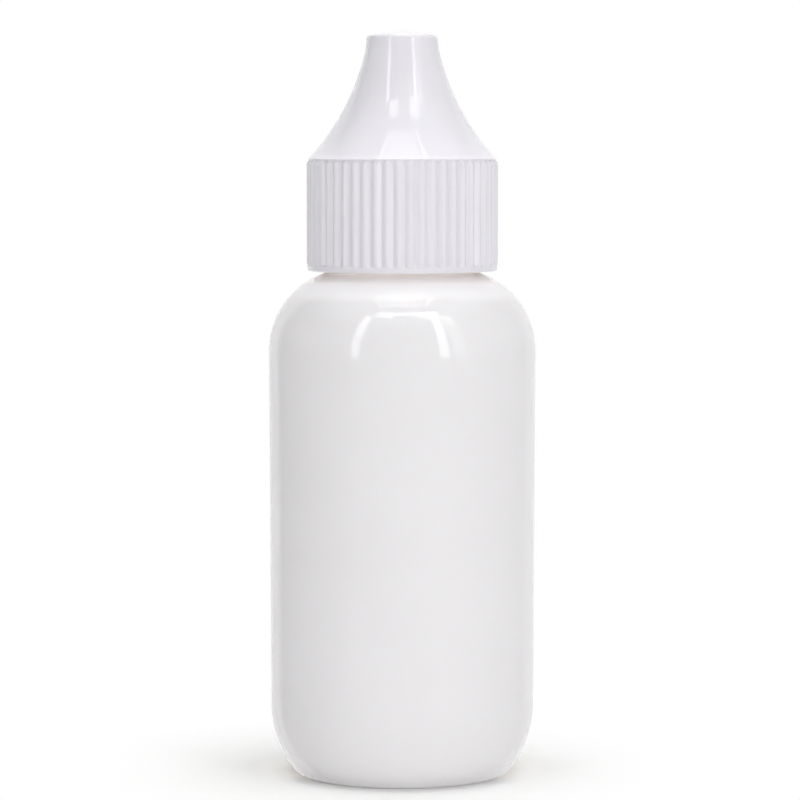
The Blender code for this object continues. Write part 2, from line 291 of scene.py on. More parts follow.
swell = add_node(thread_tree, "ShaderNodeMapRange", {
    0: to_end, 2: size["Run-out"], 3: THREAD_END_SCALE}, interpolation_type="SMOOTHSTEP")
section = add_node(thread_tree, "GeometryNodeCurvePrimitiveQuadrilateral", {
    "Height": size["Depth"], "Bottom Width": size["Root width"], "Top Width": size["Crest width"],
    "Offset": 0}, mode="TRAPEZOID")
eased = add_node(thread_tree, "GeometryNodeFilletCurve", {
    "Curve": section, "Count": 3, "Radius": size["Easing"], "Limit Radius": True}, mode="POLY")
half_depth = add_node(thread_tree, "ShaderNodeMath", {0: size["Depth"], 1: 0.5}, operation="MULTIPLY")
raised = add_node(thread_tree, "GeometryNodeTransform", {
    "Geometry": eased, "Translation": add_node(thread_tree, "ShaderNodeCombineXYZ", {1: half_depth})})
faced = add_node(thread_tree, "GeometryNodeTransform", {
    "Geometry": raised, "Rotation": add_node(thread_tree, "FunctionNodeAxisAngleToRotation", {
        "Axis": (0, 0, 1), "Angle": size["Facing"]})})
ridge = add_node(thread_tree, "GeometryNodeCurveToMesh", {
    "Curve": upright, "Profile Curve": faced, "Scale": swell, "Fill Caps": True})
turned = add_node(thread_tree, "GeometryNodeTransform", {
    "Geometry": ridge,
    "Translation": add_node(thread_tree, "ShaderNodeCombineXYZ", {2: size["Start height"]}),
    "Rotation": add_node(thread_tree, "FunctionNodeAxisAngleToRotation", {
        "Axis": (0, 0, 1), "Angle": size["Start angle"]})})
realized = add_node(thread_tree, "GeometryNodeRealizeInstances", {"Geometry": turned})
coloured = add_node(thread_tree, "GeometryNodeSetMaterial", {
    "Geometry": realized, "Material": size["Material"]})
add_node(thread_tree, "NodeGroupOutput", {"Shape": coloured})


def add_thread(name, piece, material, radius, start_height, depth, root, crest, facing):
    """Grow a thread with its root at this radius, facing out at 0 or in at pi, and join it into a piece."""
    shape = bmesh.new()
    shape.from_mesh(grow(name, thread_tree, {
        "Radius": radius, "Lead": THREAD_LEAD, "Turns": THREAD_TURNS, "Steps": THREAD_STEPS,
        "Start height": start_height, "Start angle": THREAD_START_ANGLE, "Depth": depth + THREAD_SINK,
        "Root width": root, "Crest width": crest, "Easing": THREAD_EASING,
        "Run-out": THREAD_RUN_OUT_SHARE, "Facing": facing, "Material": material}))
    fuse(piece, make_piece(name, shape, material))


outer_heel = heel(heel_arc, 0, FOOT_EDGE_RADIUS, arc_steps=28, edge_steps=10)
inner_heel = heel(heel_arc - BOTTLE_WALL, BOTTLE_WALL, FOOT_INNER_RADIUS, arc_steps=16, edge_steps=8)
ring_inner = outer_heel[-1][0] - FOOT_RING_WIDTH
neck_angle = math.degrees(math.acos((NECK_RADIUS - shoulder_centre) / SHOULDER_ARC))
bore = NECK_RADIUS - NECK_WALL
inner_arc = SHOULDER_ARC - BOTTLE_WALL
bore_angle = math.degrees(math.acos((bore - shoulder_centre) / inner_arc))
bead_base = neck_base + BEAD_BASE
bead_top = bead_base + BEAD_HEIGHT

outside = dome(ring_inner, 0, PUSH_UP_DEPTH, steps=20)[:0:-1] + [(ring_inner, 0, FOOT_EASING)]
outside += outer_heel[::-1]
outside += straight(outer_heel[0], (body_radius, WALL_TOP), steps=24)[1:-1]
outside += arc((shoulder_centre, WALL_TOP), SHOULDER_ARC, 0, neck_angle, steps=40)[:-1]
outside += [(NECK_RADIUS, neck_base, MOULDED_EASING),
            (NECK_RADIUS, bead_base, MOULDED_EASING),
            (BEAD_RADIUS, bead_base + BEAD_SLOPE, MOULDED_EASING),
            (BEAD_RADIUS, bead_top - BEAD_SLOPE, MOULDED_EASING),
            (NECK_RADIUS, bead_top, MOULDED_EASING),
            (NECK_RADIUS, lip_height, LIP_EASING)]
inside = [(bore, lip_height, LIP_EASING)]
inside += straight((bore, lip_height - 2 * LIP_EASING), (bore, neck_base), steps=8)[:-1]
inside += arc((shoulder_centre, WALL_TOP), inner_arc, bore_angle, 0, steps=24)
inside += straight((body_radius - BOTTLE_WALL, WALL_TOP), inner_heel[0], steps=12)[1:-1]
inside += inner_heel
inside += dome(inner_heel[-1][0], BOTTLE_WALL, PUSH_UP_DEPTH, steps=16)[1:]

mesh = bmesh.new()
spin(mesh, soften(outside + inside), BOTTLE_SIDES)

# The parting ridge is one column of points, raised on the outer skin on each of two opposite sides.
for point in mesh.verts:
    flat = point.co.xy
    if flat.length > body_radius - BOTTLE_WALL / 2 or point.co.z > WALL_TOP and flat.length > NECK_RADIUS:
        off_line = abs(math.atan2(flat.y, flat.x) % math.pi - PARTING_ANGLE)
        if off_line < math.pi / BOTTLE_SIDES and FOOT_EDGE_RADIUS < point.co.z < neck_base:
            point.co.xy += flat.normalized() * PARTING_RIDGE
bottle = make_piece("bottle_shell", mesh, bottle_plastic)

add_thread("neck_thread", bottle, bottle_plastic, radius=NECK_RADIUS - THREAD_SINK,
           start_height=neck_thread_start, depth=NECK_THREAD_DEPTH, root=NECK_THREAD_ROOT,
           crest=NECK_THREAD_CREST, facing=0)

# The nip is a low bar across the hollow of the base, in line with the parting ridge.
nip = bmesh.new()
bmesh.ops.create_cube(nip, size=1, matrix=Matrix.Rotation(PARTING_ANGLE, 4, "Z")
                      @ Matrix.Translation((0, 0, PUSH_UP_DEPTH))
                      @ Matrix.Diagonal((NIP_LENGTH, NIP_WIDTH, 2 * NIP_DROP, 1)))
bmesh.ops.bevel(nip, geom=nip.edges, offset=NIP_WIDTH / 4, segments=3, profile=0.5, affect="EDGES")
fuse(bottle, make_piece("nip", nip, bottle_plastic))
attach(bottle, "bottle")
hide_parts("bottle")


# Dropper plug
# The insert that meters the drops: moulded from soft natural low-density polyethylene, its flange on
# the bottle's lip, its ringed barrel pressed into the neck and its nozzle standing up in the cap.
PLUG_SIDES = 128
SEAT_GAP = 0.30 * MM
FLANGE_THICKNESS = 0.8 * MM
BARREL_WALL = 1.0 * MM
BARREL_LEAD_IN = 0.7 * MM
RING_COUNT = 3
RING_HEIGHT = 1.0 * MM
RING_DEPTH = 0.3 * MM
NOZZLE_FOOT_STEP = 0.1 * MM
NOZZLE_HOLLOW = 0.75 * MM
NOZZLE_WALL = 0.95 * MM
NOZZLE_LIP_RADIUS = 0.4 * MM
TIP_FACE = 0.4 * MM
ORIFICE_RADIUS = 0.9 * MM
ORIFICE_LENGTH = 2.2 * MM
COUNTERSINK = 0.4 * MM
PLUG_EASING = 0.12 * MM

plug_low, plug_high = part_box("dropper_plug")
flange_top = lip_height + SEAT_GAP + FLANGE_THICKNESS
flange_base = lip_height + SEAT_GAP
plug_bore = NECK_RADIUS - NECK_WALL - SEAT_GAP - RING_DEPTH - BARREL_WALL
barrel_radius = plug_bore + BARREL_WALL
nozzle_foot_radius = plug_bore + NOZZLE_FOOT_STEP
nozzle_tip_radius = ORIFICE_RADIUS + COUNTERSINK + TIP_FACE + NOZZLE_LIP_RADIUS
nozzle_tip = plug_high.z
orifice_base = nozzle_tip - ORIFICE_LENGTH
ring_pitch = (flange_base - plug_low.z - BARREL_LEAD_IN) / RING_COUNT


def bowed(start, end, depth, steps):
    """Points from start to end along an arc that bows by depth, to the right of the way it runs."""
    run = Vector(end) - Vector(start)
    radius = (run.length ** 2 / 4 + depth ** 2) / (2 * depth)
    half_angle = math.asin(run.length / 2 / radius)
    aside = Vector((run.y, -run.x)).normalized()
    points = []
    for step in range(steps + 1):
        angle = half_angle * (2 * step / steps - 1)
        along_run = radius * math.sin(angle) / run.length + 0.5
        points.append(tuple(Vector(start) + run * along_run
                            + aside * (radius * math.cos(angle) - radius + depth)))
    return points


# Natural low-density polyethylene has no pigment: it is cloudy, a shade warmer, and takes light in.
plug_plastic = moulded_plastic(
    "satin_natural_low_density_polyethylene", tones=("#E2E1DA", "#DAD9D1"), gloss=(0.24, 0.34),
    ripple=(5 * MM, 0.006 * MM), grain=(0.3 * MM, 0.0015 * MM), ior=1.51,
    glow=(0.8, 2.0 * MM, (1.2, 1.1, 1.0)))

outline = arc((nozzle_tip_radius - NOZZLE_LIP_RADIUS, nozzle_tip - NOZZLE_LIP_RADIUS),
              NOZZLE_LIP_RADIUS, 90, 0, steps=8)
outline += bowed((nozzle_tip_radius, nozzle_tip - 2 * NOZZLE_LIP_RADIUS),
                 (nozzle_foot_radius, flange_top), NOZZLE_HOLLOW, steps=32)[:-1]
outline += [(nozzle_foot_radius, flange_top, PLUG_EASING),
            (plug_high.x, flange_top, PLUG_EASING),
            (plug_high.x, flange_base, PLUG_EASING),
            (barrel_radius, flange_base, PLUG_EASING)]
for ring in range(RING_COUNT):
    middle = flange_base - ring_pitch * (ring + 1 / 2)
    outline += [(barrel_radius, middle + RING_HEIGHT / 2, PLUG_EASING),
                (barrel_radius + RING_DEPTH, middle + RING_HEIGHT / 2 - RING_DEPTH / 2, PLUG_EASING),
                (barrel_radius + RING_DEPTH, middle - RING_HEIGHT / 2 + RING_DEPTH / 2, PLUG_EASING),
                (barrel_radius, middle - RING_HEIGHT / 2, PLUG_EASING)]
outline += [(barrel_radius, plug_low.z + BARREL_LEAD_IN, PLUG_EASING),
            (barrel_radius - BARREL_LEAD_IN / 2, plug_low.z, PLUG_EASING),
            (plug_bore, plug_low.z, PLUG_EASING)]
outline += bowed((plug_bore, flange_base), (nozzle_tip_radius - NOZZLE_WALL, orifice_base),
                 -NOZZLE_HOLLOW, steps=24)
outline += [(ORIFICE_RADIUS, orifice_base + COUNTERSINK, PLUG_EASING),
            (ORIFICE_RADIUS, nozzle_tip - COUNTERSINK, PLUG_EASING),
            (ORIFICE_RADIUS + COUNTERSINK, nozzle_tip, PLUG_EASING)]
mesh = bmesh.new()
spin(mesh, soften(outline + outline[:1]), PLUG_SIDES)
dropper_plug = make_piece("dropper_insert", mesh, plug_plastic)
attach(dropper_plug, "bottle")
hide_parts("dropper_plug")


# Cap liner
# A washer punched from white expanded-polyethylene sheet and pushed up past the bead in the cap.
# It is squeezed between the cap and the plug's flange, and its cut edges show the foam's cells.
LINER_SIDES = 128
LINER_CLEARANCE = 0.95 * MM
LINER_EASING = 0.08 * MM
CELL_SIZE = 0.22 * MM
CELL_DEPTH = 0.02 * MM
FOAM_TONES = ("#DEDCD6", "#EFEEEA")
FOAM_ROUGHNESS = (0.75, 0.55)
FOAM_GLOW_WEIGHT = 0.3
FOAM_GLOW_SCALE = 0.5 * MM

liner_low, liner_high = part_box("cap_liner")
liner_hole = nozzle_foot_radius + LINER_CLEARANCE

# Expanded polyethylene is matt and finely pitted, whiter on its cell walls, and lets a little light in.
liner_foam = bpy.data.materials.new("matt_white_expanded_polyethylene")
liner_foam.use_nodes = True
tree = liner_foam.node_tree
shader = tree.nodes["Principled BSDF"]
place = add_node(tree, "ShaderNodeTexCoord").outputs["Object"]
cells = add_node(tree, "ShaderNodeTexVoronoi", {"Vector": place, "Scale": 1 / CELL_SIZE})
foam = add_node(tree, "ShaderNodeMix", {0: cells, 6: linear(FOAM_TONES[0]), 7: linear(FOAM_TONES[1])},
                data_type="RGBA")
felt = add_node(tree, "ShaderNodeMapRange", {0: cells, 3: FOAM_ROUGHNESS[0], 4: FOAM_ROUGHNESS[1]})
pitted = add_node(tree, "ShaderNodeBump", {"Strength": 1, "Distance": CELL_DEPTH, "Height": cells})
tree.links.new(foam.outputs[2], shader.inputs["Base Color"])
tree.links.new(felt.outputs[0], shader.inputs["Roughness"])
tree.links.new(pitted.outputs[0], shader.inputs["Normal"])
shader.inputs["Subsurface Weight"].default_value = FOAM_GLOW_WEIGHT
shader.inputs["Subsurface Scale"].default_value = FOAM_GLOW_SCALE

outline = [(liner_high.x, liner_high.z, LINER_EASING), (liner_high.x, liner_low.z, LINER_EASING),
           (liner_hole, liner_low.z, LINER_EASING), (liner_hole, liner_high.z, LINER_EASING)]
mesh = bmesh.new()
washer = soften(outline)
spin(mesh, washer + washer[:1], LINER_SIDES)
cap_liner = make_piece("foam_liner", mesh, liner_foam)
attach(cap_liner, "liner")
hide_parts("cap_liner")


# Cap
# One moulding of white polypropylene, a touch cooler than the bottle: a ribbed skirt to grip, a
# hollow-sided cone with a low crown, a thread inside and a pin under the crown that shuts the nozzle.
CAP_ANGLE = math.radians(1.3)
SKIRT_WALL = 1.37 * MM
RIM_HEIGHT = 0.6 * MM
RIM_STEP = 0.28 * MM
RIM_EASING = 0.22 * MM
TOP_STEP = 0.21 * MM
RIB_COUNT = 52
COLUMNS_PER_RIB = 8
RIB_ROWS = 36
RIB_DEPTH = 0.38 * MM
RIB_END_ROUNDING = 0.65 * MM
RIB_FLAT_SHARE = 0.1
BAND_SLOPE = 0.25 * MM
LINER_TO_LAND = SEAT_GAP
CONE_DROP = 0.6 * MM
CONE_STEP = 0.03 * MM
CONE_HOLLOW = 1.1 * MM
CONE_WALL = 1.35 * MM
CONE_CLEARANCE = 0.97 * MM
TIP_CLEARANCE = 1.1 * MM
CROWN_THICKNESS = 1.57 * MM
CROWN_EDGE_RADIUS = 0.65 * MM
CROWN_EDGE_START = 80
LAND_WIDTH = 1.45 * MM
RETAINER_DEPTH = 0.5 * MM
RETAINER_HEIGHT = 1.0 * MM
PIN_CLEARANCE = 0.3 * MM
PIN_FLARE = 0.9 * MM
PIN_REACH = 1.9 * MM
GATE_RADIUS = 0.8 * MM
GATE_DEPTH = 0.06 * MM
CAP_THREAD_DEPTH = 0.95 * MM
CAP_THREAD_ROOT = 1.75 * MM
CAP_THREAD_CREST = 0.7 * MM

cap_low, cap_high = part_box("cap")
cap_seat = cap_low.z
cap_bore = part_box("cap_liner")[1].x + SEAT_GAP
valley = cap_bore + SKIRT_WALL
rim = valley + RIM_STEP
top_edge = valley + TOP_STEP
land = liner_high.z + LINER_TO_LAND
ribs_top = land - CONE_DROP
ribs_foot = cap_seat + RIM_HEIGHT
ceiling = nozzle_tip + TIP_CLEARANCE
ceiling_radius = nozzle_tip_radius + CONE_CLEARANCE
crown_base = ceiling + CROWN_THICKNESS
crown_radius = ceiling_radius + CONE_WALL
crown_flat = crown_radius - CROWN_EDGE_RADIUS
crown_edge = crown_base - CROWN_EDGE_RADIUS
pin_radius = ORIFICE_RADIUS - PIN_CLEARANCE
pin_end = nozzle_tip - PIN_REACH
retainer = liner_low.z - SEAT_GAP

# Injection-moulded polypropylene copies its polished mould more closely than the blown bottle does,
# so it mirrors lamps more crisply, and it lets in only a trace of light.
cap_plastic = moulded_plastic(
    "glossy_injection_moulded_white_polypropylene", tones=("#EAE8EE", "#E6E4EA"), gloss=(0.008, 0.022),
    ripple=(9 * MM, 0.006 * MM), grain=(0.5 * MM, 0.0003 * MM), ior=1.49,
    glow=(0.1, 0.4 * MM, (1.2, 1.0, 0.9)))

# One rib is a grid bent to its share of the skirt. It swells smoothly out of the valleys beside it,
# rounds off like a fingertip below the cone and above the rim, and there meets two plain bands. It is
# repeated round the axis.
rib_tree, size = new_tree("grip_ribs", {
    "Ribs": "Int", "Columns": "Int", "Rows": "Int", "Valley radius": "Float", "Rim radius": "Float",
    "Top radius": "Float", "Depth": "Float", "Foot": "Float", "Top": "Float", "End rounding": "Float",
    "Flat share": "Float", "Band slope": "Float", "Material": "Material"})
columns = add_node(rib_tree, "ShaderNodeMath", {0: size["Columns"], 1: 1}, operation="ADD")
rows = add_node(rib_tree, "ShaderNodeMath", {0: size["Rows"], 1: 1}, operation="ADD")
grid = add_node(rib_tree, "GeometryNodeMeshGrid", {
    "Size X": 1, "Size Y": 1, "Vertices X": columns, "Vertices Y": rows})
spot = add_node(rib_tree, "ShaderNodeSeparateXYZ", {0: add_node(rib_tree, "GeometryNodeInputPosition")})
share = add_node(rib_tree, "ShaderNodeMath", {0: spot.outputs["X"], 1: 0.5}, operation="ADD")
across = add_node(rib_tree, "ShaderNodeMath", {0: spot.outputs["X"], 1: 2}, operation="MULTIPLY")
height = add_node(rib_tree, "ShaderNodeMapRange", {
    0: spot.outputs["Y"], 1: -0.5, 2: 0.5, 3: size["Foot"], 4: size["Top"]},
    interpolation_type="SMOOTHERSTEP")
round_above = add_node(rib_tree, "ShaderNodeMath", {0: size["Top"], 1: size["End rounding"]},
                       operation="SUBTRACT")
to_top = add_node(rib_tree, "ShaderNodeMapRange", {0: height, 1: round_above, 2: size["Top"]})
off_line = add_node(rib_tree, "ShaderNodeVectorMath", {
    0: add_node(rib_tree, "ShaderNodeCombineXYZ", {0: across, 1: to_top})},
    operation="LENGTH").outputs["Value"]
fullness = add_node(rib_tree, "ShaderNodeMapRange", {0: off_line, 1: 1, 2: size["Flat share"]},
                    interpolation_type="SMOOTHSTEP")
swollen = add_node(rib_tree, "ShaderNodeMath", {0: size["Depth"], 1: fullness, 2: size["Valley radius"]},
                   operation="MULTIPLY_ADD")
band_top = add_node(rib_tree, "ShaderNodeMath", {0: size["Foot"], 1: size["Band slope"]}, operation="ADD")
above_rim = add_node(rib_tree, "ShaderNodeMapRange", {
    0: height, 1: size["Foot"], 2: band_top, 3: size["Rim radius"], 4: swollen},
    interpolation_type="SMOOTHSTEP")
band_base = add_node(rib_tree, "ShaderNodeMath", {0: size["Top"], 1: size["Band slope"]},
                     operation="SUBTRACT")
radius = add_node(rib_tree, "ShaderNodeMapRange", {
    0: height, 1: size["Top"], 2: band_base, 3: size["Top radius"], 4: above_rim},
    interpolation_type="SMOOTHSTEP")
pitch = add_node(rib_tree, "ShaderNodeMath", {0: math.tau, 1: size["Ribs"]}, operation="DIVIDE")
angle = add_node(rib_tree, "ShaderNodeMath", {0: share, 1: pitch}, operation="MULTIPLY")
cosine = add_node(rib_tree, "ShaderNodeMath", {0: angle}, operation="COSINE")
sine = add_node(rib_tree, "ShaderNodeMath", {0: angle}, operation="SINE")
out_x = add_node(rib_tree, "ShaderNodeMath", {0: radius, 1: cosine}, operation="MULTIPLY")
out_y = add_node(rib_tree, "ShaderNodeMath", {0: radius, 1: sine}, operation="MULTIPLY")
bent = add_node(rib_tree, "GeometryNodeSetPosition", {
    "Geometry": grid,
    "Position": add_node(rib_tree, "ShaderNodeCombineXYZ", {0: out_x, 1: out_y, 2: height})})
turn = add_node(rib_tree, "ShaderNodeMath", {0: add_node(rib_tree, "GeometryNodeInputIndex"), 1: pitch},
                operation="MULTIPLY")
ring = add_node(rib_tree, "GeometryNodeInstanceOnPoints", {
    "Points": add_node(rib_tree, "GeometryNodePoints", {"Count": size["Ribs"]}), "Instance": bent,
    "Rotation": add_node(rib_tree, "FunctionNodeAxisAngleToRotation", {"Axis": (0, 0, 1), "Angle": turn})})
realized = add_node(rib_tree, "GeometryNodeRealizeInstances", {"Geometry": ring})
coloured = add_node(rib_tree, "GeometryNodeSetMaterial", {
    "Geometry": realized, "Material": size["Material"]})
add_node(rib_tree, "NodeGroupOutput", {"Shape": coloured})

cone = [(0, cap_high.z - GATE_DEPTH), (GATE_RADIUS, cap_high.z - GATE_DEPTH, GATE_DEPTH / 2)]
crown = dome(crown_flat, crown_base, cap_high.z - crown_base, steps=16)[::-1]
cone += [point for point in crown if point[0] > GATE_RADIUS]
cone += arc((crown_flat, crown_edge), CROWN_EDGE_RADIUS, CROWN_EDGE_START, 0, steps=8)
cone += bowed((crown_radius, crown_edge - CROWN_EDGE_RADIUS), (top_edge - CONE_STEP, ribs_top + CONE_STEP),
              CONE_HOLLOW, steps=44)[1:]
cone += [(top_edge, ribs_top)]
bore_line = [(rim, ribs_foot), (rim, cap_seat, RIM_EASING), (cap_bore, cap_seat, RIM_EASING)]
bore_line += straight((cap_bore, cap_seat + 2 * RIM_EASING), (cap_bore, retainer - RETAINER_HEIGHT),
                      steps=12)
tooth = (RETAINER_HEIGHT - RETAINER_DEPTH / 2) / 2
bore_line += [(cap_bore - RETAINER_DEPTH, retainer - RETAINER_HEIGHT + tooth, PLUG_EASING),
              (cap_bore - RETAINER_DEPTH, retainer - tooth, PLUG_EASING),
              (cap_bore, retainer, PLUG_EASING),
              (cap_bore, land, PLUG_EASING),
              (cap_bore - LAND_WIDTH, land, PLUG_EASING)]
bore_line += bowed((cap_bore - LAND_WIDTH, land), (ceiling_radius, ceiling), -CONE_HOLLOW, steps=30)[1:-1]
bore_line += [(ceiling_radius, ceiling, PLUG_EASING), (pin_radius + PIN_FLARE, ceiling)]
pin = [(pin_radius + PIN_FLARE, ceiling),
       (pin_radius, ceiling - TIP_CLEARANCE, PLUG_EASING),
       (pin_radius, pin_end, pin_radius / 2),
       (0, pin_end)]

cap_sides = RIB_COUNT * COLUMNS_PER_RIB
mesh = bmesh.new()
mesh.from_mesh(grow("ribs", rib_tree, {
    "Ribs": RIB_COUNT, "Columns": COLUMNS_PER_RIB, "Rows": RIB_ROWS, "Valley radius": valley,
    "Rim radius": rim, "Top radius": top_edge, "Depth": RIB_DEPTH, "Foot": ribs_foot, "Top": ribs_top,
    "End rounding": RIB_END_ROUNDING, "Flat share": RIB_FLAT_SHARE, "Band slope": BAND_SLOPE,
    "Material": cap_plastic}))
spin(mesh, soften(cone), cap_sides)
spin(mesh, soften(bore_line + pin[1:]), cap_sides)
cap = make_piece("ribbed_cap", mesh, cap_plastic)

# The cap's thread winds between the turns of the bottle's, half a pitch below it.
add_thread("cap_thread", cap, cap_plastic, radius=cap_bore + THREAD_SINK,
           start_height=neck_thread_start - THREAD_LEAD / 2, depth=CAP_THREAD_DEPTH,
           root=CAP_THREAD_ROOT, crest=CAP_THREAD_CREST, facing=math.pi)
cap.data.transform(Matrix.Rotation(CAP_ANGLE, 4, "Z"))
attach(cap, "cap")
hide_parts("cap")


# Floor
# A sheet of matt white paper. It takes the bottle's soft shadow close by, and further off it is as
# white as the background, so that no edge shows between them.
FLOOR_SIZE = 4.0
FLOOR_GAP = 0.02 * MM
SHADOW_REACH = (14 * MM, 43 * MM)
SHADOW_MIDDLE = (-4 * MM, 0, 0)
PAPER_TONES = ("#F6F6F5", "#F9F9F8")
PAPER_FIBRE = 0.5 * MM
PAPER_ROUGHNESS = 0.9

mesh = bmesh.new()
bmesh.ops.create_grid(mesh, x_segments=1, y_segments=1, size=FLOOR_SIZE / 2,
                      matrix=Matrix.Translation((0, 0, -FLOOR_GAP)))
paper = bpy.data.materials.new("matt_white_paper")
floor = make_piece("paper_floor", mesh, paper)

# Paper is matt, with a faint fibre that is drawn coarser than it is. Away from the bottle the camera
# sees it turn into plain white.
paper.use_nodes = True
tree = paper.node_tree
shader = tree.nodes["Principled BSDF"]
place = add_node(tree, "ShaderNodeTexCoord").outputs["Object"]
fibres = add_node(tree, "ShaderNodeTexNoise", {"Vector": place, "Scale": 1 / PAPER_FIBRE})
sheet = add_node(tree, "ShaderNodeMix", {0: fibres, 6: linear(PAPER_TONES[0]), 7: linear(PAPER_TONES[1])},
                 data_type="RGBA")
tree.links.new(sheet.outputs[2], shader.inputs["Base Color"])
shader.inputs["Roughness"].default_value = PAPER_ROUGHNESS
distance = add_node(tree, "ShaderNodeVectorMath", {0: place, 1: SHADOW_MIDDLE},
                    operation="DISTANCE").outputs["Value"]
plain = add_node(tree, "ShaderNodeMapRange", {
    0: distance, 1: SHADOW_REACH[0], 2: SHADOW_REACH[1], 3: 0, 4: 1}, interpolation_type="SMOOTHSTEP")
seen = add_node(tree, "ShaderNodeLightPath").outputs["Is Camera Ray"]
white_share = add_node(tree, "ShaderNodeMath", {0: plain, 1: seen}, operation="MULTIPLY")
white = add_node(tree, "ShaderNodeEmission", {"Color": (1, 1, 1, 1), "Strength": 1})
both = add_node(tree, "ShaderNodeMixShader", {0: white_share, 1: shader, 2: white})
tree.links.new(both.outputs[0], tree.nodes["Material Output"].inputs["Surface"])
floor.visible_glossy = False


# Studio light
# A white room with a paper sweep behind the bottle, a narrow lamp on the left, a lamp and a dimmer
# screen on the right, bars that turn in from their tops, and a panel between two tubes overhead.
# Shiny plastic mirrors all of these. Two wide fills, which it doesn't mirror, add soft light.
ROOM_LEVEL = 0.18
ROOM_LEVEL_UP = 0.18
ROOM_MIRRORED = 0.75
ROOM_MIRRORED_RIGHT = 0.22
ROOM_MIRRORED_BACK = -0.35
CEILING_MIRRORED = 0.8
CEILING_EDGE = (math.radians(34), math.radians(60))
SWEEP_MIRRORED = 0.98
SWEEP_HALF_ANGLE = math.radians(47)
SWEEP_EDGE = math.radians(3)
LAMP_DISTANCE = 0.70
LAMP_AIM = 58 * MM
PANEL_HEIGHT = 0.9

# The camera sees the room as plain white. Matt surfaces get a dim light from it, stronger from above.
# The gloss mirrors the sweep, walls that are darker to the left and behind, and a brighter ceiling.
world = bpy.data.worlds.new("white_room")
bpy.context.scene.world = world
world.use_nodes = True
tree = world.node_tree
way = add_node(tree, "ShaderNodeSeparateXYZ", {
    0: add_node(tree, "ShaderNodeTexCoord").outputs["Generated"]})
around = add_node(tree, "ShaderNodeMath", {0: way.outputs["X"], 1: way.outputs["Y"]}, operation="ARCTAN2")
off_back = add_node(tree, "ShaderNodeMath", {0: around}, operation="ABSOLUTE")
to_right = add_node(tree, "ShaderNodeMath", {0: way.outputs["X"], 1: ROOM_MIRRORED_RIGHT, 2: ROOM_MIRRORED},
                    operation="MULTIPLY_ADD")
to_back = add_node(tree, "ShaderNodeMath", {0: way.outputs["Y"], 1: ROOM_MIRRORED_BACK, 2: to_right},
                   operation="MULTIPLY_ADD")
ceiling_light = add_node(tree, "ShaderNodeMapRange", {
    0: way.outputs["Z"], 1: math.sin(CEILING_EDGE[0]), 2: math.sin(CEILING_EDGE[1]),
    3: 0, 4: CEILING_MIRRORED}, interpolation_type="SMOOTHSTEP")
walls = add_node(tree, "ShaderNodeMath", {0: to_back, 1: ceiling_light}, operation="ADD")
mirrored = add_node(tree, "ShaderNodeMapRange", {
    0: off_back, 1: SWEEP_HALF_ANGLE - SWEEP_EDGE, 2: SWEEP_HALF_ANGLE + SWEEP_EDGE,
    3: SWEEP_MIRRORED, 4: walls}, interpolation_type="SMOOTHSTEP")
soft = add_node(tree, "ShaderNodeMath", {0: way.outputs["Z"], 1: ROOM_LEVEL_UP, 2: ROOM_LEVEL},
                operation="MULTIPLY_ADD")
rays = add_node(tree, "ShaderNodeLightPath").outputs
shiny = add_node(tree, "ShaderNodeMix", {0: rays["Is Glossy Ray"], 2: soft, 3: mirrored})
clear = add_node(tree, "ShaderNodeMath", {0: rays["Is Camera Ray"], 1: rays["Is Transmission Ray"]},
                 operation="MAXIMUM")
level = add_node(tree, "ShaderNodeMix", {0: clear, 2: shiny, 3: 1})
background = tree.nodes["Background"]
background.inputs["Color"].default_value = (1, 1, 1, 1)
tree.links.new(level.outputs[0], background.inputs["Strength"])


def add_area_lamp(name, shape, width, depth, strength):
    """A lamp of this shape and size that the camera doesn't see. strength is its face's brightness."""
    light = bpy.data.lights.new(name, "AREA")
    light.shape = shape
    light.size = width
    light.size_y = depth
    light.energy = strength * math.pi * light.size * light.size_y
    lamp = bpy.data.objects.new(name, light)
    lamp.visible_camera = False
    bpy.context.scene.collection.objects.link(lamp)
    return lamp


def add_lamp(name, azimuth, lowest, highest, half_width, strength):
    """An upright lamp facing the bottle: its azimuth from the camera's side, the elevations of its
    lower and upper ends, and half its width, all as angles in degrees, and its brightness."""
    low = LAMP_DISTANCE * math.tan(math.radians(lowest))
    high = LAMP_DISTANCE * math.tan(math.radians(highest))
    width = 2 * LAMP_DISTANCE * math.tan(math.radians(half_width))
    lamp = add_area_lamp(name, "RECTANGLE", width, high - low, strength)
    side = math.radians(azimuth)
    lamp.location = (LAMP_DISTANCE * math.sin(side), -LAMP_DISTANCE * math.cos(side),
                     LAMP_AIM + (low + high) / 2)
    lamp.rotation_euler = (math.radians(90), 0, side)
    return lamp


def add_panel(name, middle, width, depth, strength):
    """A lamp overhead that faces down, its middle, width and depth as shares of its height."""
    lamp = add_area_lamp(name, "RECTANGLE", width * PANEL_HEIGHT, depth * PANEL_HEIGHT, strength)
    lamp.location = (middle[0] * PANEL_HEIGHT, middle[1] * PANEL_HEIGHT, LAMP_AIM + PANEL_HEIGHT)
    return lamp


add_lamp("left_lamp", azimuth=-40.5, lowest=-3, highest=51, half_width=4.0, strength=2.9)
add_lamp("right_lamp", azimuth=36, lowest=-3, highest=51, half_width=4.4, strength=3.2)
add_lamp("right_lamp_screen", azimuth=50, lowest=-3, highest=51, half_width=6.5, strength=1.2)

# All three are brighter in their upper part, which only the gloss shows.
left_face = add_lamp("left_lamp_face", azimuth=-39.5, lowest=28, highest=51, half_width=5.8, strength=1.1)
right_face = add_lamp("right_lamp_face", azimuth=38.5, lowest=28, highest=51, half_width=6, strength=1.1)
screen_face = add_lamp("right_screen_face", azimuth=51, lowest=37, highest=51, half_width=5, strength=1.1)
for face in (left_face, right_face, screen_face):
    face.visible_diffuse = False

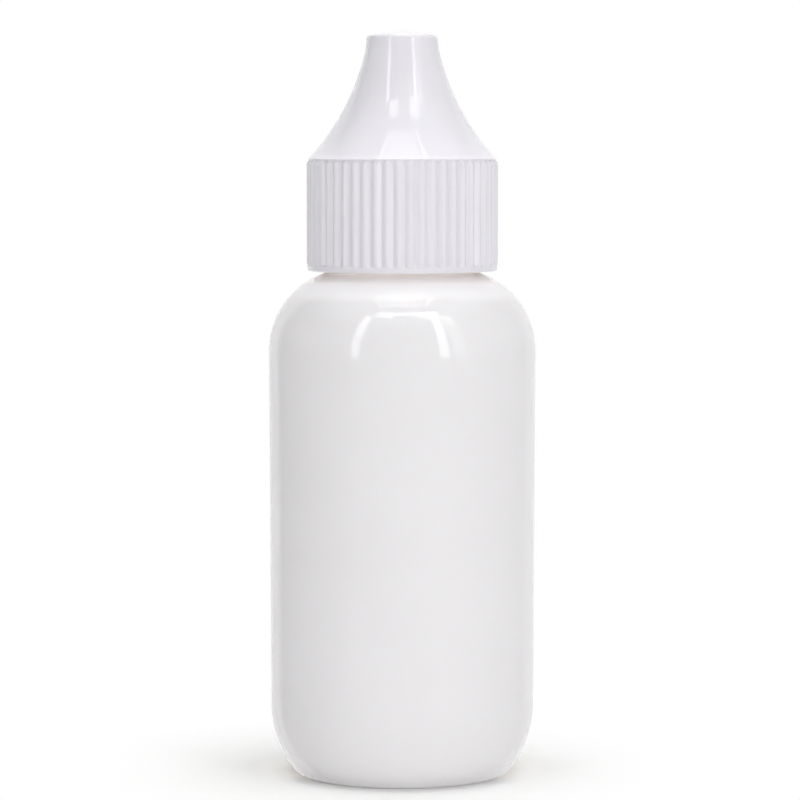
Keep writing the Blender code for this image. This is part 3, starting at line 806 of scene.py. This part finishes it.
# The table mirrors the feet of both upright lamps, and the bottle's side mirrors that once more.
add_lamp("left_lamp_in_table", azimuth=-40.5, lowest=-16, highest=-6, half_width=3, strength=0.5)
add_lamp("right_lamp_in_table", azimuth=36, lowest=-16, highest=-6, half_width=3.5, strength=0.3)

# Two bars turn in from the tops of the lamps, and a thinner one joins them. Only the gloss shows them.
# The cap doesn't mirror the thin one, which is linked to the bottle and the floor. No other lamp has
# such a link: Cycles' light tree is exact with one only.
thin_bar = add_lamp("bar_lamp", azimuth=5, lowest=56.5, highest=61, half_width=18, strength=4.5)
below_cap = bpy.data.collections.new("below_cap")
below_cap.objects.link(bottle)
below_cap.objects.link(floor)
thin_bar.light_linking.receiver_collection = below_cap
left_bar = add_lamp("bar_left_end", azimuth=-23, lowest=52, highest=61, half_width=11, strength=3.2)
right_bar = add_lamp("bar_right_end", azimuth=33, lowest=50, highest=60, half_width=13, strength=3.2)
for bar in (thin_bar, left_bar, right_bar):
    bar.visible_diffuse = False

# The panel is mirrored in the crown and lights it too. Only the gloss shows the tube at each side of
# it, and only matt surfaces take the light of the two fills, overhead and in front.
add_panel("overhead_panel", middle=(0.0, -0.15), width=0.44, depth=0.43, strength=1.7)
left_tube = add_panel("overhead_left_tube", middle=(-0.26, -0.15), width=0.04, depth=0.41, strength=3.0)
right_tube = add_panel("overhead_right_tube", middle=(0.28, -0.15), width=0.04, depth=0.41, strength=3.0)
for tube in (left_tube, right_tube):
    tube.visible_diffuse = False
overhead_fill = add_panel("overhead_fill", middle=(0.0, 0.07), width=0.95, depth=0.75, strength=3.65)
front_fill = add_lamp("front_fill", azimuth=12, lowest=-10, highest=30, half_width=25, strength=0.68)
for fill in (overhead_fill, front_fill):
    fill.visible_glossy = False

# White walls carry light in from outside and let it out again, a little warmer, where the cap and
# the heel overhang. A disc under the cap and a panel in the heel, both facing down, stand in for it,
# and only the floor casts a shadow in their light.
CARRIED_COLOUR = (1.0, 0.91, 0.78)
UNDER_CAP_LEVEL = 0.47
UNDER_CAP_SPREAD = math.radians(40)
IN_HEEL_LEVEL = 0.5
IN_HEEL_SPREAD = math.radians(90)
IN_HEEL_WIDTH = 1.8 * body_radius
IN_HEEL_DEPTH = 0.6 * body_radius
floor_alone = bpy.data.collections.new("floor_alone")
floor_alone.objects.link(floor)


def add_carried_light(name, shape, width, depth, height, strength, spread):
    """Light that the walls let out downwards at a height, over a width and a depth."""
    lamp = add_area_lamp(name, shape, width, depth, strength)
    lamp.location = (0, 0, height)
    lamp.data.color = CARRIED_COLOUR
    lamp.data.spread = spread
    lamp.visible_glossy = False
    lamp.light_linking.blocker_collection = floor_alone


add_carried_light("light_under_the_cap", "DISK", width=2 * rim, depth=2 * rim, height=ribs_foot,
                  strength=UNDER_CAP_LEVEL, spread=UNDER_CAP_SPREAD)
add_carried_light("light_in_the_heel", "RECTANGLE", width=IN_HEEL_WIDTH, depth=IN_HEEL_DEPTH,
                  height=HEEL_HEIGHT / 2, strength=IN_HEEL_LEVEL, spread=IN_HEEL_SPREAD)


# Camera
# It stands 425 mm from the bottle's axis, about as high as the foot of the cone, and looks slightly
# down with a long lens, so that the bottle fills the square picture from crown to floor.
CAMERA_DISTANCE = 425.4 * MM
CAMERA_HEIGHT = 77.75 * MM
CAMERA_ASIDE = -0.28 * MM
CAMERA_PITCH = math.radians(4.235)
LENS = 155.0
SENSOR_WIDTH = 36.0
CLIP_START = 10 * MM

camera_data = bpy.data.cameras.new("camera")
camera_data.lens = LENS
camera_data.sensor_width = SENSOR_WIDTH
camera_data.clip_start = CLIP_START
camera = bpy.data.objects.new("camera", camera_data)
camera.location = (CAMERA_ASIDE, -CAMERA_DISTANCE, CAMERA_HEIGHT)
camera.rotation_euler = (math.pi / 2 - CAMERA_PITCH, 0, 0)
bpy.context.scene.collection.objects.link(camera)
bpy.context.scene.camera = camera
bpy.context.scene.view_settings.view_transform = "Standard"
